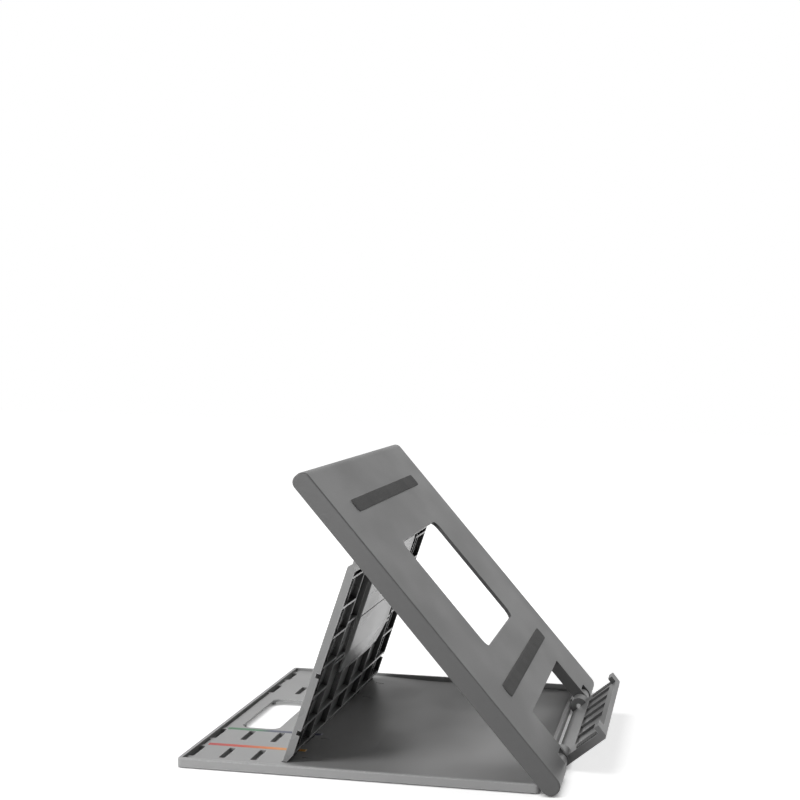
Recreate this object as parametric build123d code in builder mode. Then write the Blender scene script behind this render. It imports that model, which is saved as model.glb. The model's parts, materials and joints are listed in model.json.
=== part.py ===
from build123d import *
from math import acos, atan2, cos, hypot, radians, sin
import os

os.makedirs("parts", exist_ok=True)

# Folding laptop riser, millimetres, standing open on a desk with its leg in the steepest slot row.
# X runs across the riser, +Y to its back edge, +Z up, and the desk is z = 0.

# Base tray
base_width = 276.0
base_depth = 212.0
skirt_bottom = 0.5
rim_top = 5.9
rim_width = 2.6
rear_floor_top = 4.2
front_floor_top = 2.5
floor_wall = 1.6
floor_rib_width = 1.2
inner_floor_rib = 34.0
skirt_wall = 2.0
ramp_ahead_of_slots = 4.8
ramp_length = 38.0
base_corner_radius = 3.0
base_edge_chamfer = 0.6
base_foot_chamfer = 0.35

# Window in the base, from the back edge and from the middle
window_left = -47.5
window_right = 37.0
window_back = 12.4
window_front = 36.9
window_corner = 6.0

# Slot rows for the leg's tabs, counted from the back edge
slot_length = 24.0
slot_width = 4.0
slot_depth = 2.6
slot_pocket_wall = 0.8
slot_corner = 0.8
first_row = 4.2
row_pitch = 19.0
row_count = 4
inner_column = 67.8
outer_column_inset = 12.6
groove_width = 1.5
groove_depth = 0.8
groove_bridge = 3.0
groove_end_gap = 1.0
dash_length = 6.0
dash_width = 1.3
dash_depth = 0.9
dash_on_ramp = 5.0
inner_dash_inset = 5.8
outer_dash_inset = 2.4

# Coloured guide strips beside the slots
strip_width = 1.3
strip_depth = 0.5
strip_proud = 0.1
warm_strip_inset = 17.9
cool_strip_inset = 13.8
strip_start = 6.2
strip_on_ramp = 1.0

# Rubber feet
foot_radius = 6.0
foot_height = 0.9
foot_inset = 20.0
rear_foot_from_back = 13.7
front_foot_from_front = 14.0

# Front hinge, shared by the panel and the stop
hinge_ahead_of_base = 6.0
hinge_height = 6.2
hinge_pin_radius = 1.6
running_clearance = 0.05
knuckle_radius = 4.8
knuckle_width = 15.0
stop_lug_width = 3.5
knuckle_gap = 0.5
knuckle_neck_wall = 2.0
notch_play = 0.2
pin_end_wall = 6.0

# Top panel
rail_depth = 11.2
rail_wall = 3.6
rail_clearance = 0.4
plate_thickness = 2.3
panel_back_clearance = 2.8
panel_back_radius = 4.8
panel_edge_round = 0.9
back_wall = 3.6
rib_wall = 2.2
rib_drop = 5.0
side_rib_start = 13.0
panel_rib = 1.4
grid_behind_pivot = 5.0
grid_margin = 6.0
grid_column_count = 7
short_rib_first = 30.0
short_rib_end_gap = 10.8
short_rib_count = 7
short_rib_play = 0.6
lug_width = 3.6
lug_length = 10.0
lug_beside_cover = 21.0

# Leg
leg_inset = 13.0
leg_thickness = 4.8
leg_skin = 1.4
leg_length = 140.0
pivot_along = 172.8
pivot_offset = 0.6
leg_pin_radius = 1.2
leg_knuckle_radius = 2.3
leg_knuckle_stand = 13.5
leg_top_wall = 5.0
leg_back_step = 2.2
leg_rib = 1.5
leg_cell_first = 24.0
leg_cell_last = 8.5
leg_row_count = 6
leg_rib_inset = 38.0
leg_low_rib_inset = 18.0
leg_low_rib_width = 1.2
leg_low_rib_height = 1.9
leg_foot_rib_line = 45.25
slit_width = 1.8
slit_below_row = 3.7
slit_reach = 3.0
bay_step = 3.25
bay_depth = 1.8
notch_width = 2.8
notch_reach = 2.0
notch_depth = 2.2
inner_knuckle_gap = 3.0
outer_knuckle_width = 13.4
leg_side_gap = 1.9
nib_width = 4.0
nib_ahead = 5.0
nib_length = 4.0
nib_inset = 0.3
foot_ahead_of_row = 0.7
foot_tip_height = 2.0
tab_tip = 1.2
tab_clearance = 0.8
foot_chamfer_end = 8.0
foot_gap = 0.6

# Raised cover in the middle of the leg, which fills the panel's vent when folded
cover_half_width = 61.0
cover_corner = 5.6
cover_above_row = 2.2
cover_slope_length = 16.0
cover_below_top = 1.5
cover_rise = 2.4
cover_clearance = 1.4
cover_groove_above_row = 4.0
cover_groove_width = 0.9
cover_groove_depth = 0.6
cover_edge_chamfer = 0.6

# Flip-up front stop
stop_half_width = 80.0
stop_height = 30.8
stop_thickness = 4.8
stop_opening = 93.0
stop_side_gap = 1.0
stop_top_chamfer = 1.2
stop_recess_depth = 1.6
stop_recess_wall = 3.0
stop_rib = 1.4
stop_rib_pitch = 26.0
hook_length = 14.0
hook_reach = 4.2
hook_height = 3.2
pad_start = 11.0
pad_margin = 1.5
pad_thickness = 1.1
pad_seat = 0.5

# Grip strips on the panel
grip_inset = 38.0
grip_width = 9.0
grip_height = 1.6
grip_seat = 0.7
grip_corner = 3.0
grip_edge_chamfer = 0.4
lower_grip_behind_recess = 20.2
upper_grip_below_top = 32.4

# Depth by which one feature runs into the next, so that they join
join = 0.5

# Places worked out from the sizes above
hinge_to_back = base_depth + hinge_ahead_of_base
last_row = first_row + row_pitch * (row_count - 1)
foot_setback = last_row + foot_ahead_of_row
ramp_start = last_row + ramp_ahead_of_slots
ramp_end = ramp_start + ramp_length
strip_end = ramp_start + strip_on_ramp
foot_run = hinge_to_back - foot_setback
foot_drop = hinge_height - foot_tip_height
hinge_to_foot = hypot(foot_run, foot_drop)
hinge_to_pivot = hypot(pivot_along, pivot_offset)
corner_cos = hinge_to_pivot**2 + hinge_to_foot**2 - leg_length**2
corner = acos(corner_cos / (2 * hinge_to_pivot * hinge_to_foot))
tilt = corner - atan2(foot_drop, foot_run) - atan2(pivot_offset, pivot_along)
along = Vector(0, cos(tilt), sin(tilt))
normal = Vector(0, -sin(tilt), cos(tilt))
stop_lean = radians(stop_opening) - radians(90)
front_reach = stop_height * sin(tilt + stop_lean) + rail_depth / 2 * cos(tilt + stop_lean)
back_edge = (hinge_to_back + front_reach) / 2
front_edge = back_edge - base_depth
hinge = Vector(0, back_edge - hinge_to_back, hinge_height)
half_depth = rail_depth / 2
panel_reach = hinge_to_back + panel_back_clearance + back_wall
plate_under = half_depth - plate_thickness
panel_half = base_width / 2 + rail_clearance + rail_wall
pivot = hinge + along * pivot_along + normal * pivot_offset
foot_tip = Vector(0, back_edge - foot_setback, foot_tip_height)
leg_up = (pivot - foot_tip).normalized()
leg_out = Vector(0, -leg_up.Z, leg_up.Y)
stow_shift = pivot_along - leg_length
rib_bottom = plate_under - rib_drop
stop_up = along * -sin(stop_lean) + normal * cos(stop_lean)
pocket_bottom = rear_floor_top - slot_depth - slot_pocket_wall
rows = [back_edge - first_row - row_pitch * i for i in range(row_count)]
leg_half = leg_thickness / 2
leg_edge = base_width / 2 - leg_inset
outer_column = leg_edge - outer_column_inset
columns = [-outer_column, -inner_column, inner_column, outer_column]
warm_strip_x = warm_strip_inset - outer_column
cool_strip_x = cool_strip_inset - inner_column
leg_body_end = leg_length - leg_knuckle_stand
leg_cell_pitch = (leg_body_end - leg_cell_last - leg_cell_first) / (leg_row_count - 1)
leg_rows = [leg_cell_first + leg_cell_pitch * i for i in range(leg_row_count)]
cover_start = leg_rows[1] + cover_above_row
cover_slope_end = cover_start + cover_slope_length
cover_end = leg_body_end - cover_below_top
knuckle_inner = stop_half_width + stop_side_gap + stop_lug_width + knuckle_gap
knuckle_outer = knuckle_inner + knuckle_width

# Work planes: local X is across, local Y along the piece, local Z out of its face
panel_plane = Plane(origin=hinge, x_dir=(1, 0, 0), z_dir=normal)
leg_plane = Plane(origin=foot_tip, x_dir=(1, 0, 0), z_dir=leg_out)
stop_plane = Plane(origin=hinge, x_dir=(1, 0, 0), z_dir=(0, -stop_up.Z, stop_up.Y))


def side_plane(x, origin, direction):
    """Plane at x whose local X runs along a piece and local Y out of its face."""
    return Plane(origin=(x, origin.Y, origin.Z), x_dir=direction, z_dir=(1, 0, 0))


def base_side(x):
    """Plane at x with the row's Y and Z as its local axes."""
    return Plane(origin=(x, 0, 0), x_dir=(0, 1, 0), z_dir=(1, 0, 0))


def panel_side(x):
    return side_plane(x, hinge, along)


def leg_side(x):
    return side_plane(x, foot_tip, leg_up)


def mirrored_rectangles(x_low, x_high, low, high):
    """Rectangle from x_low to x_high and from low to high along the piece, with its mirror image."""
    across = (x_low + x_high) / 2
    reach = (low + high) / 2
    with Locations((-across, reach), (across, reach)):
        Rectangle(x_high - x_low, high - low)


def stop_side(x):
    return side_plane(x, hinge, stop_up)


# Base tray: a thin moulded floor inside a rim, with pockets under its slots
foot_columns = [foot_inset - base_width / 2, base_width / 2 - foot_inset]
rear_foot_y = back_edge - rear_foot_from_back
front_foot_y = front_edge + front_foot_from_front
with BuildPart() as base_plate:
    with BuildSketch(Plane.XY.offset(skirt_bottom)):
        with Locations((0, front_edge + base_depth / 2)):
            RectangleRounded(base_width, base_depth, base_corner_radius)
    extrude(amount=rim_top - skirt_bottom)
    chamfer(base_plate.faces().sort_by(Axis.Z)[-1].edges(), length=base_edge_chamfer)
    chamfer(base_plate.faces().sort_by(Axis.Z)[0].edges(), length=base_foot_chamfer)
    inner_half = base_width / 2 - rim_width
    with BuildSketch(base_side(-inner_half)):
        with BuildLine():
            Polyline(
                (back_edge - rim_width, rim_top + 1),
                (back_edge - rim_width, rear_floor_top),
                (back_edge - ramp_start, rear_floor_top),
                (back_edge - ramp_end, front_floor_top),
                (front_edge + rim_width, front_floor_top),
                (front_edge + rim_width, rim_top + 1),
                close=True,
            )
        make_face()
    extrude(amount=2 * inner_half, mode=Mode.SUBTRACT)
    hollow_half = base_width / 2 - skirt_wall
    with BuildSketch(base_side(-hollow_half)):
        with BuildLine():
            Polyline(
                (back_edge - skirt_wall, skirt_bottom - 1),
                (back_edge - skirt_wall, rear_floor_top - floor_wall),
                (back_edge - ramp_start, rear_floor_top - floor_wall),
                (back_edge - ramp_end, front_floor_top - floor_wall),
                (front_edge + skirt_wall, front_floor_top - floor_wall),
                (front_edge + skirt_wall, skirt_bottom - 1),
                close=True,
            )
        make_face()
    extrude(amount=2 * hollow_half, mode=Mode.SUBTRACT)
    # Pockets that the leg's tabs stand in
    pocket_top = rear_floor_top - floor_wall / 2
    with BuildSketch(Plane.XY.offset(pocket_bottom)):
        with Locations(*[(x, y) for x in columns for y in rows]):
            Rectangle(slot_length + 2 * slot_pocket_wall, slot_width + 2 * slot_pocket_wall)
    extrude(amount=pocket_top - pocket_bottom)
    # Stiffening ribs and foot bosses under the rear floor
    with BuildSketch(Plane.XY.offset(foot_height)):
        outer_floor_rib = (inner_column + outer_column) / 2
        for x in (-outer_floor_rib, -inner_floor_rib, inner_floor_rib, outer_floor_rib):
            with Locations((x, back_edge - ramp_start / 2)):
                Rectangle(floor_rib_width, ramp_start - 2 * skirt_wall)
        with Locations(*[(x, rear_foot_y) for x in foot_columns]):
            Circle(foot_radius)
    extrude(amount=pocket_top - foot_height)
    # Slots
    with BuildSketch(Plane.XY.offset(rear_floor_top)) as slot_outlines:
        with Locations(*[(x, y) for x in columns for y in rows]):
            Rectangle(slot_length, slot_width)
        chamfer(slot_outlines.vertices(), length=slot_corner)
    extrude(amount=-slot_depth, mode=Mode.SUBTRACT)
    # Groove along the back rim, stopped short of each slot
    half_slot = slot_length / 2 + groove_bridge
    inner_end = inner_column - half_slot
    gap_low = inner_column + half_slot
    gap_high = outer_column - half_slot
    end_low = outer_column + half_slot
    end_high = inner_half - groove_end_gap
    with BuildSketch(Plane.XY.offset(rear_floor_top)):
        y = back_edge - rim_width - groove_width / 2
        with Locations((0, y)):
            Rectangle(2 * inner_end, groove_width)
        for side in (-1, 1):
            with Locations((side * (gap_low + gap_high) / 2, y)):
                Rectangle(gap_high - gap_low, groove_width)
            with Locations((side * (end_low + end_high) / 2, y)):
                Rectangle(end_high - end_low, groove_width)
    extrude(amount=-groove_depth, mode=Mode.SUBTRACT)
    # Grooves for the coloured strips
    with BuildSketch(Plane.XY.offset(rear_floor_top)):
        for x in (warm_strip_x, cool_strip_x):
            with Locations((x, back_edge - (strip_start + strip_end) / 2)):
                Rectangle(strip_width, strip_end - strip_start)
    extrude(amount=-strip_depth, mode=Mode.SUBTRACT)
    # Short grooves ahead of the slots
    with BuildSketch(Plane.XY.offset(rear_floor_top)):
        inner_dash = inner_column - inner_dash_inset
        outer_dash = outer_column - outer_dash_inset
        for x in (-outer_dash, -inner_dash, inner_dash, outer_dash):
            with Locations((x, back_edge - ramp_start - dash_on_ramp)):
                Rectangle(dash_width, dash_length)
    extrude(amount=-dash_depth, mode=Mode.SUBTRACT)
    # Window
    with BuildSketch(Plane.XY.offset(-1)):
        with Locations(((window_left + window_right) / 2, back_edge - (window_back + window_front) / 2)):
            RectangleRounded(window_right - window_left, window_front - window_back, window_corner)
    extrude(amount=rim_top + 2, mode=Mode.SUBTRACT)
    # Hinge knuckles on the front edge
    for low, high in ((-knuckle_outer, -knuckle_inner), (knuckle_inner, knuckle_outer)):
        with BuildSketch(base_side(low)):
            with Locations((hinge.Y, hinge.Z)):
                Circle(knuckle_radius)
            with BuildLine():
                Polyline(
                    (hinge.Y, hinge.Z - knuckle_radius),
                    (front_edge + knuckle_neck_wall, hinge.Z - knuckle_radius),
                    (front_edge + knuckle_neck_wall, rim_top - base_edge_chamfer),
                    (hinge.Y + knuckle_radius * cos(radians(45)), hinge.Z + knuckle_radius * sin(radians(45))),
                    (hinge.Y, hinge.Z),
                    close=True,
                )
            make_face()
        extrude(amount=high - low)
        with BuildSketch(base_side(low - 1)):
            with Locations((hinge.Y, hinge.Z)):
                Circle(hinge_pin_radius + running_clearance)
        extrude(amount=high - low + 2, mode=Mode.SUBTRACT)
base_plate.part.label = "base_plate"
export_step(base_plate.part, "parts/base_plate.step")

# Coloured guide strips let into the rear floor
for name, x in (("guide_strip_warm", warm_strip_x), ("guide_strip_cool", cool_strip_x)):
    with BuildPart() as strip:
        with BuildSketch(Plane.XY.offset(rear_floor_top - strip_depth)):
            with Locations((x, back_edge - (strip_start + strip_end) / 2)):
                Rectangle(strip_width, strip_end - strip_start)
        extrude(amount=strip_depth + strip_proud)
    strip.part.label = name
    export_step(strip.part, "parts/" + name + ".step")

# Rubber feet
for end, y in (("rear", rear_foot_y), ("front", front_foot_y)):
    for side, x in zip(("left", "right"), foot_columns):
        with BuildPart() as rubber_foot:
            with BuildSketch(Plane.XY):
                with Locations((x, y)):
                    Circle(foot_radius)
            extrude(amount=foot_height)
        name = "base_foot_" + end + "_" + side
        rubber_foot.part.label = name
        export_step(rubber_foot.part, "parts/" + name + ".step")

# Top panel: a ribbed plate between two deep rails
stop_gap_half = stop_half_width + stop_side_gap
stop_gap_end = stop_height + stop_side_gap
lug_outer = knuckle_inner - knuckle_gap
barrel_inner = knuckle_outer + knuckle_gap
hollow_half = base_width / 2 + rail_clearance
hollow_end = panel_reach - back_wall
grip_length = base_width - 2 * grip_inset
lower_grip_along = stop_gap_end + lower_grip_behind_recess
upper_grip_along = panel_reach - upper_grip_below_top
vent_half = cover_half_width + cover_clearance
vent_low = stow_shift + cover_start - cover_clearance
vent_high = stow_shift + cover_end + cover_clearance
vent_corner = cover_corner + cover_clearance
lug_inner_x = cover_half_width + lug_beside_cover
side_rib_x = leg_edge + leg_side_gap + rib_wall / 2
with BuildPart() as top_panel:
    with BuildSketch(panel_side(-panel_half)) as side_outline:
        with Locations((panel_reach / 2, 0)):
            Rectangle(panel_reach, rail_depth)
        fillet(side_outline.vertices().group_by(Axis.X)[-1], radius=panel_back_radius)
        Circle(half_depth)
    extrude(amount=2 * panel_half)
    for face in (top_panel.faces().sort_by(Axis.X)[0], top_panel.faces().sort_by(Axis.X)[-1]):
        fillet(face.edges(), radius=panel_edge_round)
    # Hollow underside that takes the base and the folded leg
    with BuildSketch(panel_plane.offset(plate_under)):
        with Locations((0, (hollow_end - rail_depth) / 2)):
            Rectangle(2 * hollow_half, hollow_end + rail_depth)
    extrude(amount=-2 * rail_depth, mode=Mode.SUBTRACT)
    # Knuckles of the front hinge and the lugs that carry the stop
    for side in (-1, 1):
        for low, high in ((barrel_inner, hollow_half + rail_wall / 2), (stop_gap_half, lug_outer)):
            start = low if side > 0 else -high
            radius = half_depth if low == barrel_inner else knuckle_radius
            with BuildSketch(panel_side(start)):
                Circle(radius)
            extrude(amount=high - low)
        start = stop_gap_half if side > 0 else -lug_outer
        with BuildSketch(panel_side(start)):
            with Locations((stop_gap_end / 2, (plate_under + join + rib_bottom) / 2)):
                Rectangle(stop_gap_end, rib_drop + join)
        extrude(amount=lug_outer - stop_gap_half)
    # Ribs under the plate: one long rib each side, and a grid behind the leg's hinge
    grid_low = pivot_along + grid_behind_pivot
    grid_high = hollow_end - grid_margin
    grid_middle = (grid_low + grid_high) / 2
    with BuildSketch(panel_plane.offset(rib_bottom)):
        for side in (-1, 1):
            with Locations((side * side_rib_x, (side_rib_start + grid_high) / 2)):
                Rectangle(rib_wall, grid_high - side_rib_start)
            with Locations((side * lug_inner_x, pivot_along)):
                Rectangle(lug_width, lug_length)
        with Locations((0, grid_middle)):
            with GridLocations(2 * side_rib_x / (grid_column_count + 1), 1, grid_column_count, 1):
                Rectangle(panel_rib, grid_high - grid_low)
        for reach in (grid_low, grid_middle, grid_high):
            with Locations((0, reach)):
                Rectangle(2 * side_rib_x, panel_rib)
    extrude(amount=rib_drop + join)
    # Short ribs between the long ribs and the rails
    short_rib_low = rim_top - hinge_height + short_rib_play
    with BuildSketch(panel_plane.offset(short_rib_low)):
        short_rib_pitch = (hollow_end - short_rib_end_gap - short_rib_first) / (short_rib_count - 1)
        for i in range(short_rib_count):
            reach = short_rib_first + short_rib_pitch * i
            mirrored_rectangles(side_rib_x, hollow_half + join, reach - panel_rib / 2, reach + panel_rib / 2)
    extrude(amount=plate_under + join - short_rib_low)
    # Opening for the stop, notches for the base's knuckles, and the vent
    with BuildSketch(panel_plane.offset(-rail_depth)):
        with Locations((0, (stop_gap_end - rail_depth) / 2)):
            Rectangle(2 * stop_gap_half, stop_gap_end + rail_depth)
        for side in (-1, 1):
            with Locations((side * (lug_outer + barrel_inner) / 2, 0)):
                Rectangle(barrel_inner - lug_outer, 2 * (hinge_ahead_of_base - notch_play))
        with Locations((0, (vent_low + vent_high) / 2)):
            RectangleRounded(2 * vent_half, vent_high - vent_low, vent_corner)
    extrude(amount=2 * rail_depth, mode=Mode.SUBTRACT)
    # Seats for the grip strips
    with BuildSketch(panel_plane.offset(half_depth)):
        for reach in (lower_grip_along, upper_grip_along):
            with Locations((0, reach)):
                RectangleRounded(grip_length, grip_width, grip_corner)
    extrude(amount=-grip_seat, mode=Mode.SUBTRACT)
    # Bores for the front hinge pins and the leg's pins
    pin_outer = panel_half - pin_end_wall
    for side in (-1, 1):
        start = stop_gap_half - 1 if side > 0 else -pin_outer
        with BuildSketch(panel_side(start)):
            Circle(hinge_pin_radius)
        extrude(amount=pin_outer - stop_gap_half + 1, mode=Mode.SUBTRACT)
        for low, high in (
            (lug_inner_x - lug_width, lug_inner_x + lug_width),
            (side_rib_x - rib_wall, side_rib_x + rib_wall),
        ):
            start = low if side > 0 else -high
            with BuildSketch(panel_side(start)):
                with Locations((pivot_along, pivot_offset)):
                    Circle(leg_pin_radius)
            extrude(amount=high - low, mode=Mode.SUBTRACT)
top_panel.part.label = "top_panel"
export_step(top_panel.part, "parts/top_panel.step")

# Rubber grip strips seated in the panel
for name, reach in (("grip_strip_lower", lower_grip_along), ("grip_strip_upper", upper_grip_along)):
    with BuildPart() as grip:
        with BuildSketch(panel_plane.offset(half_depth - grip_seat)):
            with Locations((0, reach)):
                RectangleRounded(grip_length, grip_width, grip_corner)
        extrude(amount=grip_height)
        chamfer(grip.faces().sort_by(Axis(hinge, normal))[-1].edges(), length=grip_edge_chamfer)
    grip.part.label = name
    export_step(grip.part, "parts/" + name + ".step")

# Leg: a thin skin with a grid of ribs on its front, and tabs along its foot
wall_inner = leg_edge - leg_rib
cell_depth = leg_thickness - leg_skin
leg_rib_line = leg_edge - leg_rib_inset
leg_low_rib_line = leg_edge - leg_low_rib_inset
cell_top = leg_body_end - leg_top_wall
half_rib = leg_rib / 2
bay_inner = cover_half_width + leg_rib
bay_outer = leg_rib_line - half_rib
slit_high = leg_rows[2] - slit_below_row + slit_width / 2
slit_low = slit_high - slit_width
bay_middle = leg_rows[3] + bay_step
tab_half = slot_length / 2 - tab_clearance
lug_back = leg_back_step - leg_half
foot_cell_low = foot_chamfer_end + leg_rib
foot_cell_high = leg_cell_first - half_rib
row_starts = [row + half_rib for row in leg_rows]
row_ends = [row - half_rib for row in leg_rows[1:]] + [cell_top]
inner_knuckle_low = cover_half_width + inner_knuckle_gap
inner_knuckle_high = lug_inner_x - lug_width / 2 - knuckle_gap
outer_knuckle_low = leg_edge - outer_knuckle_width
with BuildPart() as support_leg:
    with BuildSketch(leg_side(-leg_edge)):
        with BuildLine():
            Polyline(
                (0, -leg_half),
                (0, -leg_half + tab_tip),
                (foot_chamfer_end, leg_half),
                (leg_body_end, leg_half),
                (leg_body_end, lug_back),
                (leg_body_end - half_rib, lug_back),
                (leg_body_end - half_rib - leg_back_step, -leg_half),
                close=True,
            )
        make_face()
    extrude(amount=2 * leg_edge)
    # Cells between the ribs
    with BuildSketch(leg_plane.offset(leg_half)):
        for low, high in zip(row_starts, row_ends):
            mirrored_rectangles(leg_rib_line + half_rib, wall_inner, low, high)
        mirrored_rectangles(leg_rib_line + half_rib, wall_inner, foot_cell_low, foot_cell_high)
        for low, high in ((foot_cell_low, foot_cell_high), (row_starts[0], slit_low - leg_rib)):
            mirrored_rectangles(leg_foot_rib_line + half_rib, bay_outer, low, high)
        for low, high in ((foot_cell_low, foot_cell_high), (row_starts[0], cover_start - leg_rib)):
            mirrored_rectangles(half_rib, leg_foot_rib_line - half_rib, low, high)
        mirrored_rectangles(bay_inner, bay_outer, bay_middle + half_rib, cell_top)
        for low, high in zip(row_starts[2:], row_ends[2:]):
            mirrored_rectangles(half_rib, cover_half_width / 2 - half_rib, low, high)
            mirrored_rectangles(cover_half_width / 2 + half_rib, cover_half_width - half_rib, low, high)
    extrude(amount=-cell_depth, mode=Mode.SUBTRACT)
    # Shallower bay beside the cover, and the slit below it that goes right through
    with BuildSketch(leg_plane.offset(leg_half)):
        mirrored_rectangles(bay_inner, bay_outer, slit_high + leg_rib, bay_middle - half_rib)
    extrude(amount=-bay_depth, mode=Mode.SUBTRACT)
    with BuildSketch(leg_plane.offset(leg_half)):
        mirrored_rectangles(cover_half_width - slit_reach, bay_outer, slit_low, slit_high)
    extrude(amount=-leg_thickness, mode=Mode.SUBTRACT)
    # Low ribs down the outer cells
    with BuildSketch(leg_plane.offset(leg_half - cell_depth)):
        low_rib_half = leg_low_rib_width / 2
        rib_sides = (leg_low_rib_line - low_rib_half, leg_low_rib_line + low_rib_half)
        mirrored_rectangles(*rib_sides, foot_chamfer_end, cell_top + half_rib)
    extrude(amount=leg_low_rib_height)
    # Notches in the side walls
    with BuildSketch(leg_plane.offset(leg_half)):
        for low in (leg_cell_first - 1.5 * notch_width, slit_low - notch_width / 2):
            mirrored_rectangles(leg_edge - notch_reach, leg_edge + 1, low, low + notch_width)
    extrude(amount=-notch_depth, mode=Mode.SUBTRACT)
    # Foot cut level above the floor, so that only the tabs reach into the slots
    gap_ends = [-leg_edge - 1] + [x + side * tab_half for x in columns for side in (-1, 1)] + [leg_edge + 1]
    with BuildSketch(Plane.XY):
        for low, high in zip(gap_ends[::2], gap_ends[1::2]):
            with Locations(((low + high) / 2, foot_tip.Y)):
                Rectangle(high - low, 4 * leg_thickness)
    extrude(amount=rear_floor_top + foot_gap, mode=Mode.SUBTRACT)
    # Knuckles on the leg's top edge
    for side in (-1, 1):
        for low, high in ((inner_knuckle_low, inner_knuckle_high), (outer_knuckle_low, leg_edge)):
            start = low if side > 0 else -high
            with BuildSketch(leg_side(start)):
                with Locations((leg_length, 0)):
                    Circle(leg_knuckle_radius)
                with BuildLine():
                    Polyline(
                        (leg_body_end - half_rib, lug_back),
                        (leg_body_end - half_rib, leg_half),
                        (leg_length, leg_knuckle_radius),
                        (leg_length, 0),
                        (leg_length - leg_knuckle_radius, lug_back),
                        close=True,
                    )
                make_face()
            extrude(amount=high - low)
            with BuildSketch(leg_side(start)):
                with Locations((leg_length, 0)):
                    Circle(leg_pin_radius + running_clearance)
            extrude(amount=high - low, mode=Mode.SUBTRACT)
        # Small nib on the back of each outer knuckle
        with BuildSketch(leg_side(leg_edge - nib_width if side > 0 else -leg_edge)):
            with BuildLine():
                nib_middle = leg_body_end + nib_ahead
                Polyline(
                    (nib_middle - nib_length / 2, lug_back + join),
                    (nib_middle - nib_length / 4, -leg_half + nib_inset),
                    (nib_middle + nib_length / 4, -leg_half + nib_inset),
                    (nib_middle + nib_length / 2, lug_back + join),
                    close=True,
                )
            make_face()
        extrude(amount=nib_width)
support_leg.part.label = "support_leg"
export_step(support_leg.part, "parts/support_leg.step")

# Raised cover on the leg, with a sloped lower end
with BuildPart() as leg_cover:
    with BuildSketch(leg_plane.offset(leg_half)):
        with Locations((0, (cover_start + cover_end) / 2)):
            RectangleRounded(2 * cover_half_width, cover_end - cover_start, cover_corner)
    extrude(amount=cover_rise)
    with BuildSketch(leg_side(-cover_half_width - 1)):
        with BuildLine():
            Polyline(
                (cover_start - 1, leg_half),
                (cover_start, leg_half),
                (cover_slope_end, leg_half + cover_rise),
                (cover_slope_end, leg_half + cover_rise + 1),
                (cover_start - 1, leg_half + cover_rise + 1),
                close=True,
            )
        make_face()
    extrude(amount=2 * cover_half_width + 2, mode=Mode.SUBTRACT)
    chamfer(leg_cover.faces().sort_by(Axis(foot_tip, leg_out))[-1].edges(), length=cover_edge_chamfer)
    with BuildSketch(leg_plane.offset(leg_half + cover_rise)):
        with Locations((0, leg_rows[3] + cover_groove_above_row)):
            Rectangle(2 * cover_half_width + 2, cover_groove_width)
    extrude(amount=-cover_groove_depth, mode=Mode.SUBTRACT)
leg_cover.part.label = "leg_cover"
export_step(leg_cover.part, "parts/leg_cover.step")

# Flip-up stop along the panel's front edge, with a hook at each end
stop_inner = half_depth - stop_thickness
hook_inner = stop_half_width - hook_length
stop_knuckle_radius = half_depth
with BuildPart() as front_stop:
    with BuildSketch(stop_side(-stop_half_width)):
        Circle(stop_knuckle_radius)
        with BuildLine():
            Polyline(
                (0, stop_inner),
                (0, half_depth),
                (stop_height - stop_top_chamfer, half_depth),
                (stop_height, half_depth - stop_top_chamfer),
                (stop_height, stop_inner),
                close=True,
            )
        make_face()
    extrude(amount=2 * stop_half_width)
    # Barrel cut back between the end knuckles
    with BuildSketch(stop_side(-hook_inner)):
        with Locations((0, stop_inner - stop_knuckle_radius)):
            Rectangle(4 * stop_knuckle_radius, 2 * stop_knuckle_radius)
    extrude(amount=2 * hook_inner, mode=Mode.SUBTRACT)
    # Hooks that reach over the edge of what leans on the panel
    with BuildSketch(stop_plane.offset(stop_inner - hook_reach)):
        mirrored_rectangles(hook_inner, stop_half_width, stop_height - hook_height, stop_height)
    extrude(amount=hook_reach)
    # Shallow cells in the face that closes on the base
    with BuildSketch(stop_plane.offset(stop_inner)):
        cell_half = hook_inner - stop_recess_wall
        cell_count = round(2 * cell_half / stop_rib_pitch)
        cell_pitch = 2 * cell_half / cell_count
        cell_low = stop_knuckle_radius + stop_recess_wall
        cell_high = stop_height - hook_height - stop_recess_wall / 2
        with Locations((0, (cell_low + cell_high) / 2)):
            with GridLocations(cell_pitch, 1, cell_count, 1):
                Rectangle(cell_pitch - stop_rib, cell_high - cell_low)
    extrude(amount=stop_recess_depth, mode=Mode.SUBTRACT)
    # Seats for the pads and bores for the hinge pins
    with BuildSketch(stop_plane.offset(stop_inner)):
        pad_ends = (pad_start, stop_height - hook_height - pad_margin)
        mirrored_rectangles(hook_inner + pad_margin, stop_half_width - pad_margin, *pad_ends)
    extrude(amount=pad_seat, mode=Mode.SUBTRACT)
    for start in (-stop_half_width, hook_inner):
        with BuildSketch(stop_side(start)):
            Circle(hinge_pin_radius + running_clearance)
        extrude(amount=hook_length, mode=Mode.SUBTRACT)
front_stop.part.label = "front_stop"
export_step(front_stop.part, "parts/front_stop.step")

# Rubber pads beside the hooks
pad_length = stop_height - hook_height - pad_margin - pad_start
for name, side in (("stop_pad_left", -1), ("stop_pad_right", 1)):
    with BuildPart() as stop_pad:
        with BuildSketch(stop_plane.offset(stop_inner + pad_seat)):
            with Locations((side * (hook_inner + stop_half_width) / 2, pad_start + pad_length / 2)):
                Rectangle(hook_length - 2 * pad_margin, pad_length)
        extrude(amount=-pad_thickness)
    stop_pad.part.label = name
    export_step(stop_pad.part, "parts/" + name + ".step")

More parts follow.
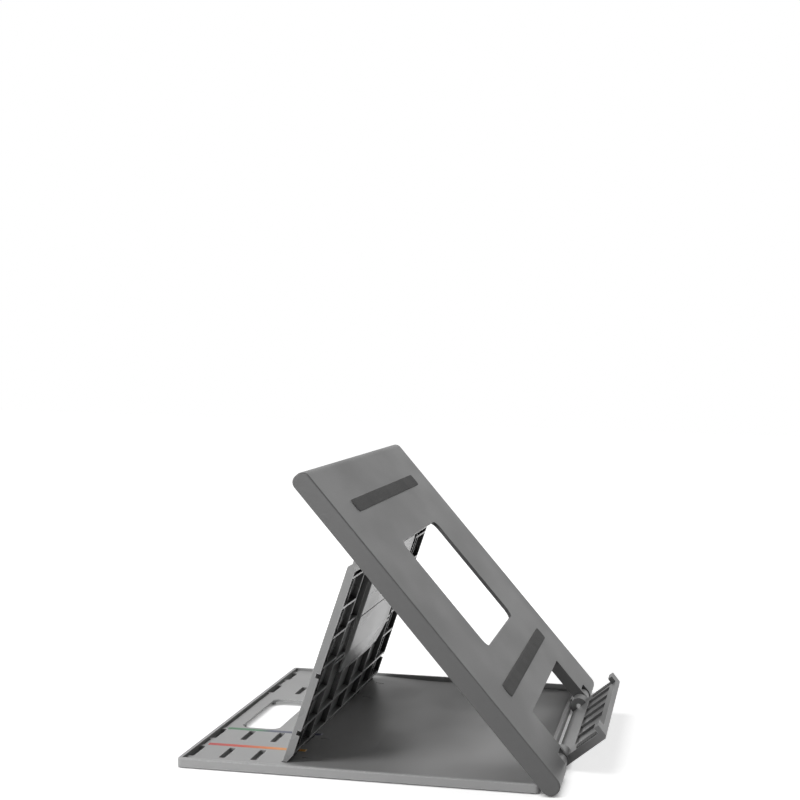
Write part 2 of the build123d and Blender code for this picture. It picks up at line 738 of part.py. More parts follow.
# Hinge pins, held by the panel
leg_pin_spans = {
    "inner": (inner_knuckle_low + 2, lug_inner_x + lug_width / 2),
    "outer": (outer_knuckle_low + 1, side_rib_x + rib_wall / 2),
}
for name, side in (("left", -1), ("right", 1)):
    with BuildPart() as front_pin:
        with BuildSketch(panel_side(hook_inner if side > 0 else -pin_outer)):
            Circle(hinge_pin_radius)
        extrude(amount=pin_outer - hook_inner)
    front_pin.part.label = "front_hinge_pin_" + name
    export_step(front_pin.part, "parts/front_hinge_pin_" + name + ".step")
    for place, (low, high) in leg_pin_spans.items():
        with BuildPart() as leg_pin:
            with BuildSketch(panel_side(low if side > 0 else -high)):
                with Locations((pivot_along, pivot_offset)):
                    Circle(leg_pin_radius)
            extrude(amount=high - low)
        file_name = "leg_hinge_pin_" + place + "_" + name
        leg_pin.part.label = file_name
        export_step(leg_pin.part, "parts/" + file_name + ".step")
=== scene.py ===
import json
import math

import bpy
import numpy as np
from mathutils import Matrix, Vector


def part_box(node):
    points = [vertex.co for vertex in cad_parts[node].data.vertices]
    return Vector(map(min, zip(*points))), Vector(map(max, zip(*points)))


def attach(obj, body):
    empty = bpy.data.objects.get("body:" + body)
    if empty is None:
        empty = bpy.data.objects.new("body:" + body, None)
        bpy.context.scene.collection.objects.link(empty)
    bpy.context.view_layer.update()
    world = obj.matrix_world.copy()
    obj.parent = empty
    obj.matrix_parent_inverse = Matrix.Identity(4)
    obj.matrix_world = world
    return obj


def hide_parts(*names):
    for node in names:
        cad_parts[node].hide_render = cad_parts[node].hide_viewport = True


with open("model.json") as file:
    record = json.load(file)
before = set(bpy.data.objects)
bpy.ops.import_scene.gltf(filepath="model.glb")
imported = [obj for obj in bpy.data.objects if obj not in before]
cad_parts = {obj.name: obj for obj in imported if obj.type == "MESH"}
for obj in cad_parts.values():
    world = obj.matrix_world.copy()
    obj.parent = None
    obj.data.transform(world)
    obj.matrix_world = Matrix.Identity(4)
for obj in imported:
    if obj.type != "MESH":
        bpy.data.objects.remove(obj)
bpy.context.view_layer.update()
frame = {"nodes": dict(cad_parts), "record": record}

# Places in the panel, in metres: hinge line, the panel's lean from the base and the seat of its grips.
HINGE_Y, HINGE_Z = -0.095228, 0.0062
PANEL_LEAN = math.radians(48.32206)
ALONG = (math.cos(PANEL_LEAN), math.sin(PANEL_LEAN))
OUTWARD = (-math.sin(PANEL_LEAN), math.cos(PANEL_LEAN))
GRIP_SEAT = 0.0049
# Places in the stop: up its plate, out of the face with the pads, and the middle and seat of its pads.
STOP_LEAN = PANEL_LEAN + math.radians(93.0)
STOP_UP = (math.cos(STOP_LEAN), math.sin(STOP_LEAN))
STOP_FACE = (math.sin(STOP_LEAN), -math.cos(STOP_LEAN))
PAD_MIDDLE, PAD_SEAT = 0.01855, -0.0013


# Camera, lamps and floor

def add_object(name, data):
    """A new object in the scene, at the origin."""
    thing = bpy.data.objects.new(name, data)
    bpy.context.scene.collection.objects.link(thing)
    return thing


def place_camera():
    """Camera at the left side of the riser, a little to the front and above, at the photograph's angle."""
    place = (-1.03310, -0.17145, 0.24892)
    yaw, down, roll = 0.184513649, 0.0337500107, 0.0243351082
    focal_in_pixels, picture_width, sensor = 1617.05835, 800, 36.0
    forward = Vector((math.cos(yaw) * math.cos(down), math.sin(yaw) * math.cos(down), -math.sin(down)))
    level_right = forward.cross(Vector((0, 0, 1))).normalized()
    level_up = level_right.cross(forward)
    right = math.cos(roll) * level_right + math.sin(roll) * level_up
    up = math.cos(roll) * level_up - math.sin(roll) * level_right
    data = bpy.data.cameras.new("studio_camera")
    data.sensor_width = sensor
    data.lens = focal_in_pixels / picture_width * sensor
    data.clip_start, data.clip_end = 0.05, 50
    camera = add_object("studio_camera", data)
    camera.matrix_world = Matrix((right, up, -forward)).transposed().to_4x4()
    camera.location = place
    bpy.context.scene.camera = camera


def softbox(name, place, aim, side, watts):
    """A square area lamp at place that faces aim. The camera doesn't see it."""
    data = bpy.data.lights.new(name, "AREA")
    data.shape, data.size, data.energy = "SQUARE", side, watts
    lamp = add_object(name, data)
    lamp.location = place
    lamp.visible_camera = False
    lamp.rotation_mode = "QUATERNION"
    lamp.rotation_quaternion = (Vector(aim) - Vector(place)).to_track_quat("-Z", "Y")


def seen_directly(tree):
    """1 on rays from the camera, and on glossy and transmitted rays, else 0."""
    path = tree.nodes.new("ShaderNodeLightPath")
    glossy = calc(tree, "MAXIMUM", path.outputs["Is Camera Ray"], path.outputs["Is Glossy Ray"])
    return calc(tree, "MAXIMUM", glossy, path.outputs["Is Transmission Ray"])


def plain_background(tree, strength):
    """A white Background shader of this strength."""
    node = tree.nodes.new("ShaderNodeBackground")
    node.inputs["Color"].default_value = (1, 1, 1, 1)
    node.inputs["Strength"].default_value = strength
    return node.outputs[0]


def light_the_studio():
    """White surroundings with a low fill, and four softboxes: from the left and behind, low at the left,
    above, and a weak one on the panel's face."""
    fill_strength, shown_strength = 0.09, 1.0
    world = bpy.data.worlds.new("white_studio")
    bpy.context.scene.world = world
    world.use_nodes = True
    tree = world.node_tree
    tree.nodes.clear()
    out = tree.nodes.new("ShaderNodeOutputWorld")
    mix = tree.nodes.new("ShaderNodeMixShader")
    tree.links.new(seen_directly(tree), mix.inputs["Fac"])
    tree.links.new(plain_background(tree, fill_strength), mix.inputs[1])
    tree.links.new(plain_background(tree, shown_strength), mix.inputs[2])
    tree.links.new(mix.outputs[0], out.inputs["Surface"])
    softbox("softbox_left", (-0.80, 0.85, 0.62), aim=(0, 0.04, 0.04), side=0.45, watts=7.6)
    softbox("softbox_side", (-1.40, 0.45, 0.15), aim=(0, 0.02, 0.05), side=0.60, watts=5.6)
    softbox("softbox_top", (0.10, 0.35, 1.25), aim=(0, 0.05, 0), side=0.60, watts=5.4)
    softbox("softbox_front", (0.50, -1.20, 0.80), aim=(0, 0, 0.10), side=1.00, watts=3.5)
    bpy.context.scene.view_settings.view_transform = "Standard"


def lay_floor():
    """White floor at z = 0 that keeps the shadow: its diffuse part darkens in shadow, and its glow makes the
    rest white, less where something stands close over it, which paints a contact shadow. Away from the riser
    the glow alone is white."""
    half, paper_level = 4.0, 0.80
    near, far, near_glow = 0.25, 0.60, 0.68
    contact_reach, contact_shadow_glow = 0.004, 0.05
    corners = [(x, y, 0) for x, y in ((-half, -half), (half, -half), (half, half), (-half, half))]
    mesh = bpy.data.meshes.new("studio_floor")
    mesh.from_pydata(corners, [], [(0, 1, 2, 3)])
    floor = add_object("studio_floor", mesh)
    material = bpy.data.materials.new("white_paper")
    material.use_nodes = True
    tree = material.node_tree
    tree.nodes.clear()
    out = tree.nodes.new("ShaderNodeOutputMaterial")
    add = tree.nodes.new("ShaderNodeAddShader")
    paper = tree.nodes.new("ShaderNodeBsdfDiffuse")
    glow = tree.nodes.new("ShaderNodeEmission")
    paper.inputs["Color"].default_value = grey(paper_level)
    contact = openness(tree, contact_reach, 12)
    distance = tree.nodes.new("ShaderNodeVectorMath")
    distance.operation = "LENGTH"
    tree.links.new(tree.nodes.new("ShaderNodeTexCoord").outputs["Object"], distance.inputs[0])
    level = spread(tree, distance.outputs["Value"], near, far, near_glow, 1.0, smooth=True)
    # Painted contact shadow: ambient occlusion lowers the glow where the riser stands close over the floor.
    level = calc(tree, "MULTIPLY", level, spread(tree, contact, 0.15, 0.80, contact_shadow_glow, 1.0))
    tree.links.new(calc(tree, "MULTIPLY", seen_directly(tree), level), glow.inputs["Strength"])
    tree.links.new(paper.outputs[0], add.inputs[0])
    tree.links.new(glow.outputs[0], add.inputs[1])
    tree.links.new(add.outputs[0], out.inputs["Surface"])
    mesh.materials.append(material)


# Node helpers and shared effects

def feed(tree, value, socket):
    """Sets a socket to a number, colour or vector, or links an output to it."""
    if isinstance(value, bpy.types.NodeSocket):
        tree.links.new(value, socket)
    else:
        socket.default_value = value


def calc(tree, operation, *values, clamp=False):
    """A Math node on these numbers or outputs."""
    node = tree.nodes.new("ShaderNodeMath")
    node.operation, node.use_clamp = operation, clamp
    for value, socket in zip(values, node.inputs):
        feed(tree, value, socket)
    return node.outputs[0]


def blend_colour(tree, factor, first, second):
    """Colour between first and second by factor."""
    node = tree.nodes.new("ShaderNodeMix")
    node.data_type = "RGBA"
    feed(tree, factor, node.inputs["Factor"])
    for value, socket in ((first, node.inputs[6]), (second, node.inputs[7])):
        feed(tree, value, socket)
    return node.outputs[2]


def spread(tree, value, low, high, to_low, to_high, smooth=False):
    """Maps value from low..high to to_low..to_high, held at both ends."""
    node = tree.nodes.new("ShaderNodeMapRange")
    node.clamp = True
    if smooth:
        node.interpolation_type = "SMOOTHSTEP"
    for socket, number in zip(node.inputs, (value, low, high, to_low, to_high)):
        feed(tree, number, socket)
    return node.outputs[0]


def stretched(tree, vector, scale):
    """The vector scaled apart along its three axes."""
    node = tree.nodes.new("ShaderNodeMapping")
    feed(tree, vector, node.inputs["Vector"])
    node.inputs["Scale"].default_value = scale
    return node.outputs[0]


def noise(tree, vector, scale, detail=2.0, roughness=0.5):
    """Noise value, 0 to 1, at this scale in 1/m."""
    node = tree.nodes.new("ShaderNodeTexNoise")
    feed(tree, vector, node.inputs["Vector"])
    feed(tree, scale, node.inputs["Scale"])
    node.inputs["Detail"].default_value = detail
    node.inputs["Roughness"].default_value = roughness
    return node.outputs[0]


def openness(tree, reach, samples, own_surface_only=False):
    """Ambient occlusion within reach, in metres: 1 in the open, lower in corners and recesses."""
    node = tree.nodes.new("ShaderNodeAmbientOcclusion")
    node.samples, node.only_local = samples, own_surface_only
    node.inputs["Distance"].default_value = reach
    return node.outputs["AO"]


def effect(name, inputs, outputs):
    """A new shader node group with these named inputs and outputs, its input node and its output node."""
    tree = bpy.data.node_groups.new(name, "ShaderNodeTree")
    for label, kind, value in inputs:
        socket = tree.interface.new_socket(label, in_out="INPUT", socket_type=kind)
        if value is not None:
            socket.default_value = value
    for label, kind in outputs:
        tree.interface.new_socket(label, in_out="OUTPUT", socket_type=kind)
    return tree, tree.nodes.new("NodeGroupInput").outputs, tree.nodes.new("NodeGroupOutput").inputs


VECTOR, FLOAT = "NodeSocketVector", "NodeSocketFloat"


def moulded_grain_effect():
    """Spark-eroded mould texture: fine noise mixed with rounded cells. Also a slow mottle, drawn out
    along X."""
    tree, given, made = effect(
        "moulded_grain",
        [("Vector", VECTOR, None), ("Grain Scale", FLOAT, 2400.0), ("Mottle Scale", FLOAT, 24.0)],
        [("Height", FLOAT), ("Mottle", FLOAT)])
    fine = noise(tree, given["Vector"], given["Grain Scale"], 3.0, 0.6)
    cells = tree.nodes.new("ShaderNodeTexVoronoi")
    feed(tree, given["Vector"], cells.inputs["Vector"])
    feed(tree, calc(tree, "MULTIPLY", given["Grain Scale"], 0.8), cells.inputs["Scale"])
    pits = calc(tree, "MULTIPLY", cells.outputs["Distance"], 0.6)
    tree.links.new(calc(tree, "ADD", calc(tree, "MULTIPLY", fine, 0.7), pits), made["Height"])
    slow = noise(tree, stretched(tree, given["Vector"], (0.5, 1.0, 1.0)), given["Mottle Scale"], 2.0, 0.5)
    tree.links.new(spread(tree, slow, 0.25, 0.75, 0.0, 1.0, smooth=True), made["Mottle"])
    return tree


def edge_wear_and_painted_light_effect():
    """Mask along convex edges, broken up by noise, for wear that is also a painted highlight, a mask of
    painted shade down in cells and slots, and a normal that rounds each edge by a small radius."""
    tree, given, made = effect(
        "edge_wear_and_painted_light",
        [("Vector", VECTOR, None), ("Wear Radius", FLOAT, 0.0012), ("Edge Radius", FLOAT, 0.0003)],
        [("Mask", FLOAT), ("Recess Shade", FLOAT), ("Normal", VECTOR)])
    wide, narrow = (tree.nodes.new("ShaderNodeBevel") for _ in range(2))
    wide.samples = narrow.samples = 6
    feed(tree, given["Wear Radius"], wide.inputs["Radius"])
    feed(tree, given["Edge Radius"], narrow.inputs["Radius"])
    flat = tree.nodes.new("ShaderNodeNewGeometry").outputs["True Normal"]
    dot = tree.nodes.new("ShaderNodeVectorMath")
    dot.operation = "DOT_PRODUCT"
    tree.links.new(wide.outputs[0], dot.inputs[0])
    tree.links.new(flat, dot.inputs[1])
    bent = spread(tree, dot.outputs["Value"], 0.97, 0.8, 0.0, 1.0)
    convex = spread(tree, openness(tree, 0.0025, 6, own_surface_only=True), 0.75, 0.95, 0.0, 1.0)
    broken = spread(tree, noise(tree, given["Vector"], 420.0, 3.0, 0.65), 0.35, 0.6, 0.25, 1.0)
    # Wear and painted highlight: this mask makes convex edges paler in the materials that use it.
    tree.links.new(calc(tree, "MULTIPLY", calc(tree, "MULTIPLY", bent, convex), broken), made["Mask"])
    # Painted shade: ambient occlusion gives the mask that darkens the colour down in cells and slots.
    deep = openness(tree, 0.009, 8, own_surface_only=True)
    tree.links.new(spread(tree, deep, 0.45, 0.93, 1.0, 0.0), made["Recess Shade"])
    tree.links.new(narrow.outputs[0], made["Normal"])
    return tree


def settled_dust_effect():
    """Thin dust where a surface faces up and in its corners, in soft patches."""
    tree, given, made = effect(
        "settled_dust",
        [("Vector", VECTOR, None), ("Amount", FLOAT, 0.1)],
        [("Mask", FLOAT)])
    facing = tree.nodes.new("ShaderNodeSeparateXYZ")
    tree.links.new(tree.nodes.new("ShaderNodeTexCoord").outputs["Normal"], facing.inputs[0])
    level = spread(tree, facing.outputs["Z"], 0.2, 1.0, 0.0, 1.0)
    tucked = spread(tree, openness(tree, 0.004, 4), 0.5, 1.0, 1.0, 0.45)
    patches = spread(tree, noise(tree, given["Vector"], 60.0, 5.0, 0.6), 0.3, 0.7, 0.3, 1.0)
    mask = calc(tree, "MULTIPLY", calc(tree, "MULTIPLY", level, tucked), patches)
    tree.links.new(calc(tree, "MULTIPLY", mask, given["Amount"], clamp=True), made["Mask"])
    return tree


def rubbed_marks_effect():
    """Fine rubbed lines from handling, in two crossing directions: noise drawn out long and cut to thin
    lines."""
    tree, given, made = effect(
        "rubbed_marks",
        [("Vector", VECTOR, None), ("Amount", FLOAT, 0.5)],
        [("Mask", FLOAT)])
    lines = None
    for scale, seed in (((26.0, 900.0, 900.0), 1.7), ((700.0, 40.0, 400.0), 5.3)):
        shifted = tree.nodes.new("ShaderNodeVectorMath")
        shifted.operation = "ADD"
        tree.links.new(stretched(tree, given["Vector"], scale), shifted.inputs[0])
        shifted.inputs[1].default_value = (seed, seed, seed)
        line = spread(tree, noise(tree, shifted.outputs[0], 1.0, 2.0), 0.66, 0.74, 0.0, 1.0)
        lines = line if lines is None else calc(tree, "MAXIMUM", lines, line)
    places = spread(tree, noise(tree, given["Vector"], 18.0, 2.0), 0.45, 0.7, 0.0, 1.0)
    tree.links.new(
        calc(tree, "MULTIPLY", calc(tree, "MULTIPLY", lines, places), given["Amount"]), made["Mask"])
    return tree


GRAIN, WEAR_AND_PAINTED_LIGHT, DUST, MARKS = (
    moulded_grain_effect(), edge_wear_and_painted_light_effect(), settled_dust_effect(), rubbed_marks_effect())


def use_effect(tree, group, vector, **values):
    """Places a shared effect in a material with its own values, and returns its outputs."""
    node = tree.nodes.new("ShaderNodeGroup")
    node.node_tree = group
    tree.links.new(vector, node.inputs["Vector"])
    for label, value in values.items():
        feed(tree, value, node.inputs[label.replace("_", " ")])
    return node.outputs


def new_material(name, **sockets):
    """A material with one Principled shader, its fixed values set on the shader's own sockets."""
    material = bpy.data.materials.new(name)
    material.use_nodes = True
    tree = material.node_tree
    tree.nodes.clear()
    out = tree.nodes.new("ShaderNodeOutputMaterial")
    shader = tree.nodes.new("ShaderNodeBsdfPrincipled")
    tree.links.new(shader.outputs[0], out.inputs["Surface"])
    for label, value in sockets.items():
        shader.inputs[label.replace("_", " ")].default_value = value
    return material, tree, shader, tree.nodes.new("ShaderNodeTexCoord").outputs["Object"]


def grey(level, warm=0.0):
    """Neutral grey, slightly warmer or cooler."""
    return (level * (1 + warm), level, level * (1 - warm), 1.0)


DUST_GREY = grey(0.5, 0.02)


def raise_grain(tree, shader, height, normal, strength, distance):
    """Bump from the grain's height on the rounded edge normal."""
    bump = tree.nodes.new("ShaderNodeBump")
    bump.inputs["Strength"].default_value = strength
    bump.inputs["Distance"].default_value = distance
    tree.links.new(height, bump.inputs["Height"])
    tree.links.new(normal, bump.inputs["Normal"])
    tree.links.new(bump.outputs[0], shader.inputs["Normal"])


def moulded_plastic(
        name, level, rough, grain=2400.0, bump=0.25, wear_and_highlight=0.5, marks=0.4, dust=0.12, recess_shading=0.5, gloss=0.5):
    """Matt moulded plastic: mottled grey, spark-eroded grain, edges made paler for wear and as a painted
    highlight, recesses darkened as painted shade, faint marks and dust. The tones are shares of level."""
    mottle, grit_tone, edge_highlight_tone, mark_tone, recess_shade_tone = 0.01, 1.16, 2.1, 1.35, 0.12
    material, tree, shader, place = new_material(name, IOR=1.49, Specular_IOR_Level=gloss)
    grained = use_effect(tree, GRAIN, place, Grain_Scale=grain)
    wear_light_and_shade = use_effect(tree, WEAR_AND_PAINTED_LIGHT, place)
    dusty = use_effect(tree, DUST, place, Amount=dust)
    rubbed = use_effect(tree, MARKS, place, Amount=marks)
    colour = blend_colour(
        tree, grained["Mottle"], grey(level * (1 - mottle)), grey(level * (1 + mottle)))
    grit = calc(tree, "MULTIPLY", spread(tree, grained["Height"], 0.3, 0.9, 0.0, 1.0), 0.35)
    # Wear and painted highlight: edges are made paler towards the edge tone.
    highlit_worn_edges = calc(tree, "MULTIPLY", wear_light_and_shade["Mask"], wear_and_highlight)
    lines = calc(tree, "MULTIPLY", rubbed["Mask"], 0.35)
    # Painted shade: cells and slots are darkened towards the recess tone.
    recess_shade = calc(tree, "MULTIPLY", wear_light_and_shade["Recess Shade"], recess_shading)
    for mask, over in (
            (grit, grey(level * grit_tone)), (highlit_worn_edges, grey(min(1, level * edge_highlight_tone))),
            (lines, grey(level * mark_tone)), (dusty["Mask"], DUST_GREY),
            (recess_shade, grey(level * recess_shade_tone))):
        colour = blend_colour(tree, mask, colour, over)
    tree.links.new(colour, shader.inputs["Base Color"])
    sheen = calc(tree, "MULTIPLY_ADD", grained["Mottle"], 0.10, rough - 0.05)
    sheen = calc(tree, "SUBTRACT", sheen, calc(tree, "MULTIPLY", rubbed["Mask"], 0.16))
    sheen = calc(tree, "ADD", sheen, calc(tree, "MULTIPLY", dusty["Mask"], 0.3), clamp=True)
    tree.links.new(sheen, shader.inputs["Roughness"])
    raise_grain(tree, shader, grained["Height"], wear_light_and_shade["Normal"], bump, 0.0001)
    return material


def rubber(name, level, rough):
    """Dull rubber: near black, finely pitted, paler with dust on top, and paler along its ridges from rubbing
    and as a painted highlight.
    """
    material, tree, shader, place = new_material(name, IOR=1.52)
    grained = use_effect(tree, GRAIN, place, Grain_Scale=3200.0, Mottle_Scale=60.0)
    wear_light_and_shade = use_effect(tree, WEAR_AND_PAINTED_LIGHT, place, Wear_Radius=0.0003, Edge_Radius=0.00012)
    dusty = use_effect(tree, DUST, place, Amount=0.35)
    colour = blend_colour(tree, grained["Mottle"], grey(level * 0.8), grey(level * 1.25))
    # Rubbing and painted highlight: the ridges' edges are made paler.
    colour = blend_colour(tree, calc(tree, "MULTIPLY", wear_light_and_shade["Mask"], 0.5), colour, grey(level * 2.4))
    colour = blend_colour(tree, dusty["Mask"], colour, grey(0.3, 0.03))
    tree.links.new(colour, shader.inputs["Base Color"])
    sheen = calc(tree, "MULTIPLY_ADD", grained["Height"], 0.14, rough - 0.07)
    tree.links.new(sheen, shader.inputs["Roughness"])
    raise_grain(tree, shader, grained["Height"], wear_light_and_shade["Normal"], 0.45, 0.00012)
    return material


def drawn_steel(name):
    """Drawn steel wire: fine streaks along X in colour, roughness and height, with dull patches."""
    material, tree, shader, place = new_material(name, Metallic=1.0)
    streak = noise(tree, stretched(tree, place, (60.0, 5200.0, 5200.0)), 1.0, 3.0)
    dull = noise(tree, place, 260.0, 4.0)
    wear_light_and_shade = use_effect(tree, WEAR_AND_PAINTED_LIGHT, place, Wear_Radius=0.0002, Edge_Radius=0.00015)
    colour = blend_colour(tree, streak, grey(0.46), grey(0.66))
    colour = blend_colour(tree, spread(tree, dull, 0.5, 0.75, 0.0, 0.5), colour, grey(0.34, 0.05))
    tree.links.new(colour, shader.inputs["Base Color"])
    sheen = spread(tree, calc(tree, "ADD", streak, dull), 0.6, 1.4, 0.22, 0.5)
    tree.links.new(sheen, shader.inputs["Roughness"])
    raise_grain(tree, shader, streak, wear_light_and_shade["Normal"], 0.2, 0.00004)
    return material


def guide_line(name, stops):
    """Coloured guide line: its hues run along Y from the rear of the strip to its front, with grain, rounded
    edges and a little dust."""
    rear, front = 0.11657, 0.05577
    material, tree, shader, place = new_material(name, IOR=1.49)
    axis = tree.nodes.new("ShaderNodeSeparateXYZ")
    tree.links.new(place, axis.inputs[0])
    run = tree.nodes.new("ShaderNodeValToRGB")
    tree.links.new(spread(tree, axis.outputs["Y"], rear, front, 0.0, 1.0), run.inputs["Fac"])
    marks = run.color_ramp.elements
    while len(marks) < len(stops):
        marks.new(0.5)
    for mark, (at, colour) in zip(marks, stops):
        mark.position, mark.color = at, (*colour, 1.0)
    grained = use_effect(tree, GRAIN, place, Grain_Scale=2600.0)
    wear_light_and_shade = use_effect(tree, WEAR_AND_PAINTED_LIGHT, place, Wear_Radius=0.0003, Edge_Radius=0.0001)
    dusty = use_effect(tree, DUST, place, Amount=0.04)
    colour = blend_colour(tree, calc(tree, "MULTIPLY", grained["Height"], 0.05), run.outputs[0], grey(0.6))
    colour = blend_colour(tree, dusty["Mask"], colour, DUST_GREY)
    tree.links.new(colour, shader.inputs["Base Color"])
    tree.links.new(calc(tree, "MULTIPLY_ADD", grained["Mottle"], 0.12, 0.38), shader.inputs["Roughness"])
    raise_grain(tree, shader, grained["Height"], wear_light_and_shade["Normal"], 0.2, 0.00008)
    return material


# Hues of the guide lines, from the rear (0) to the front (1)
WARM_HUES = (
    (0.0, (0.42, 0.012, 0.014)), (0.35, (0.60, 0.05, 0.012)),
    (0.65, (0.72, 0.20, 0.008)), (1.0, (0.74, 0.36, 0.012)))
COOL_HUES = (
    (0.0, (0.006, 0.13, 0.035)), (0.32, (0.015, 0.17, 0.06)),
    (0.46, (0.010, 0.022, 0.07)), (1.0, (0.008, 0.008, 0.055)))
FINISHES = {
    "base_plastic": moulded_plastic(
        "base_plastic_finish", level=0.40, rough=0.36, bump=0.10, wear_and_highlight=0.9, marks=0.1, recess_shading=0.35,
        gloss=0.08),
    "leg_plastic": moulded_plastic(
        "leg_plastic_finish", level=0.25, rough=0.28, bump=0.12, wear_and_highlight=1.0, marks=0.08, recess_shading=1.0),
    "cover_plastic": moulded_plastic(
        "cover_plastic_finish", level=0.27, rough=0.26, grain=3000.0, bump=0.08, wear_and_highlight=0.6, marks=0.1,
        recess_shading=0.3, gloss=0.30),
    # Painted shade: the panel's plastic is a darker grey than the other plastics, standing in for shade on
    # its rails.
    "panel_plastic": moulded_plastic(
        "panel_plastic_shaded_finish", level=0.115, rough=0.42, bump=0.15, wear_and_highlight=0.9, marks=0.15, gloss=0.35),
    "stop_plastic": moulded_plastic(
        "stop_plastic_finish", level=0.18, rough=0.42, bump=0.15, wear_and_highlight=0.9, marks=0.1),
    "rubber_foot": rubber("rubber_foot_finish", level=0.035, rough=0.72),
    "rubber_grip": rubber("rubber_grip_finish", level=0.045, rough=0.66),
    "pin_steel": drawn_steel("pin_steel_finish"),
    "warm_line": guide_line("warm_line_finish", WARM_HUES),
    "cool_line": guide_line("cool_line_finish", COOL_HUES),
}


def dress_nodes():
    """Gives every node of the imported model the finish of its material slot."""
    for part in frame["record"]["subparts"]:
        node = frame["nodes"].get(part["node"])
        if node is None:
            continue
        node.data.materials.clear()
        node.data.materials.append(FINISHES[part["material_slot"]])


# New surfaces

def from_hinge(across, along, direction, out, outward):
    """The place at across in X that lies along one direction and out in another from the hinge line."""
    return (
        across, HINGE_Y + along * direction[0] + out * outward[0],
        HINGE_Z + along * direction[1] + out * outward[1])


def lay_surface(name, rings, body, slot, replaced):
    """Closed mesh from an array of rings (rings x points x 3): quads between rings and a fan at each end."""
    count, around = rings.shape[:2]
    ends = rings[[0, -1]].mean(axis=1)
    points = np.concatenate([rings.reshape(-1, 3), ends])
    i, j = np.meshgrid(np.arange(count - 1), np.arange(around), indexing="ij")
    after = (j + 1) % around
    quads = np.stack([i * around + j, i * around + after, (i + 1) * around + after, (i + 1) * around + j], -1)
    rim, after = np.arange(around), (np.arange(around) + 1) % around
    first, last, top = count * around, count * around + 1, (count - 1) * around
    fans = np.concatenate([
        np.stack([np.full(around, first), after, rim], -1),
        np.stack([np.full(around, last), top + rim, top + after], -1)])
    mesh = bpy.data.meshes.new(name)
    mesh.from_pydata(points.tolist(), [], quads.reshape(-1, 4).tolist() + fans.tolist())
    mesh.materials.append(FINISHES[slot])
    piece = add_object(name, mesh)
    mesh.shade_smooth()
    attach(piece, body)
    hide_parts(replaced)


def squared_oval(around, power):
    """The two coordinates of points on |u|^p + |v|^p = 1, evenly spaced in angle."""
    turn = np.arange(around) / around * 2 * np.pi
    return [np.sign(value) * np.abs(value) ** (2 / power) for value in (np.cos(turn), np.sin(turn))]


def ribbed_rubber(name, replaced, body, middle, run, face, length, width, height, rib_pitch, rib_depth):
    """Ribbed rubber strip, carried along run from -length/2 to length/2 with its face towards face. The
    section is |v/w|^p + |h/t|^p = 1, narrower and lower round its ends, and its top rises and falls as a
    raised cosine of the place along run."""
    end_radius, end_drop, power = 0.003, 0.0008, 5.0
    steps_per_rib, around = 8, 28
    short_of_a_point = 0.999
    run, face, middle = (np.array(vector, float) for vector in (run, face, middle))
    side = np.cross(face, run)
    stations = np.linspace(-length / 2, length / 2, int(length / rib_pitch) * steps_per_rib + 1)
    round_end = np.clip((np.abs(stations) - (length / 2 - end_radius)) / end_radius, 0, 1)
    half_width = width / 2 - end_radius * (1 - np.sqrt(1 - round_end ** 2 * short_of_a_point))
    wave = 0.5 - 0.5 * np.cos(2 * np.pi * stations / rib_pitch)
    half_height = (height - rib_depth * wave - min(end_drop, height / 3) * round_end ** 3) / 2
    out_to_side, out_to_top = squared_oval(around, power)
    rings = (middle + stations[:, None, None] * run
             + (half_width[:, None] * out_to_side)[:, :, None] * side
             + (half_height[:, None] * (1 + out_to_top))[:, :, None] * face)
    lay_surface(name, rings, body, "rubber_grip", replaced)


def guide_strip(name, replaced, slot, across, width):
    """Flat coloured strip on the rear floor, carried along Y: a low oval section, |x/w|^p + |z/t|^p = 1. It
    stands as proud of the floor as the strip that it replaces and is sunk as far into it."""
    low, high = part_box(replaced)
    proud, sunk = 0.0001, 0.0001
    around, stations, power = 24, 40, 4.0
    half_height = (proud + sunk) / 2
    out_x, out_z = squared_oval(around, power)
    section_x = across + width / 2 * out_x
    section_z = high.z - half_height + half_height * out_z
    along = np.linspace(high.y, low.y, stations)
    shape = (stations, around)
    rings = np.stack([
        np.broadcast_to(section_x, shape), np.broadcast_to(along[:, None], shape),
        np.broadcast_to(section_z, shape)], -1)
    lay_surface(name, rings, "base", slot, replaced)


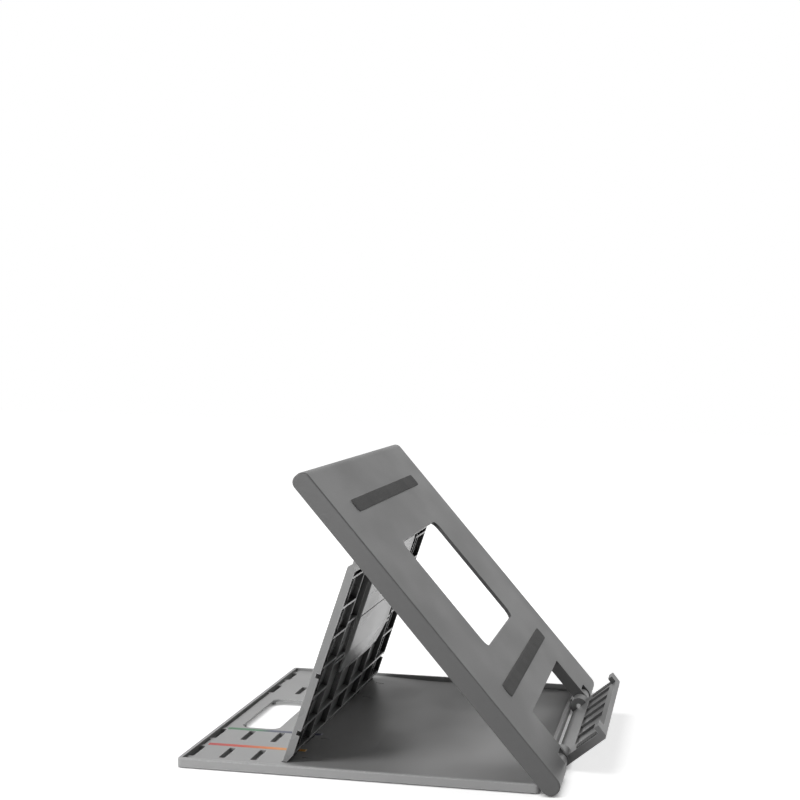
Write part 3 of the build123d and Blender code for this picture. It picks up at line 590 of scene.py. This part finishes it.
def rubber_foot(name, replaced):
    """Turned rubber foot: a profile (radius, height) carried round Z. The underside has ring grooves,
    height = depth x raised cosine of radius, and a quarter-round rim."""
    low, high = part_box(replaced)
    centre, radius = (low + high) / 2, (high.x - low.x) / 2
    rim, groove_pitch, groove_depth = 0.0003, 0.0014, 0.00018
    first_ring, plain_margin, around = 0.0003, 0.0012, 72
    flat = np.linspace(first_ring, radius - rim, 60)
    wave = 0.5 - 0.5 * np.cos(2 * np.pi * flat / groove_pitch)
    groove = groove_depth * wave * (flat < radius - plain_margin)
    corner = np.linspace(0, np.pi / 2, 7)[1:]
    radii = np.concatenate([flat, radius - rim + rim * np.sin(corner), [radius, radius * 0.5]])
    heights = np.concatenate([low.z + groove, low.z + rim - rim * np.cos(corner), [high.z, high.z]])
    turn = np.arange(around) / around * 2 * np.pi
    rings = np.stack([
        centre.x + radii[:, None] * np.cos(turn)[None, :],
        centre.y + radii[:, None] * np.sin(turn)[None, :],
        np.repeat(heights[:, None], around, 1)], -1)
    lay_surface(name, rings, "base", "rubber_foot", replaced)


# Making the scene

place_camera()
light_the_studio()
lay_floor()
dress_nodes()
for level, along in (("lower", 0.052), ("upper", 0.192)):
    ribbed_rubber(
        f"grip_rubber_{level}", f"grip_strip_{level}", "panel",
        from_hinge(0, along, ALONG, GRIP_SEAT, OUTWARD),
        run=(1, 0, 0), face=(0, *OUTWARD), length=0.200, width=0.009, height=0.0016,
        rib_pitch=0.002, rib_depth=0.0004)
for hand, across in (("left", -0.073), ("right", 0.073)):
    ribbed_rubber(
        f"stop_rubber_{hand}", f"stop_pad_{hand}", "stop",
        from_hinge(across, PAD_MIDDLE, STOP_UP, PAD_SEAT, STOP_FACE),
        run=(0, *STOP_UP), face=(0, *STOP_FACE), length=0.0151, width=0.011, height=0.0011,
        rib_pitch=0.0015, rib_depth=0.0003)
guide_strip("guide_line_warm", "guide_strip_warm", "warm_line", across=-0.0945, width=0.0052)
guide_strip("guide_line_cool", "guide_strip_cool", "cool_line", across=-0.0531, width=0.0048)
for end in ("rear", "front"):
    for hand in ("left", "right"):
        rubber_foot(f"foot_rubber_{end}_{hand}", f"base_foot_{end}_{hand}")
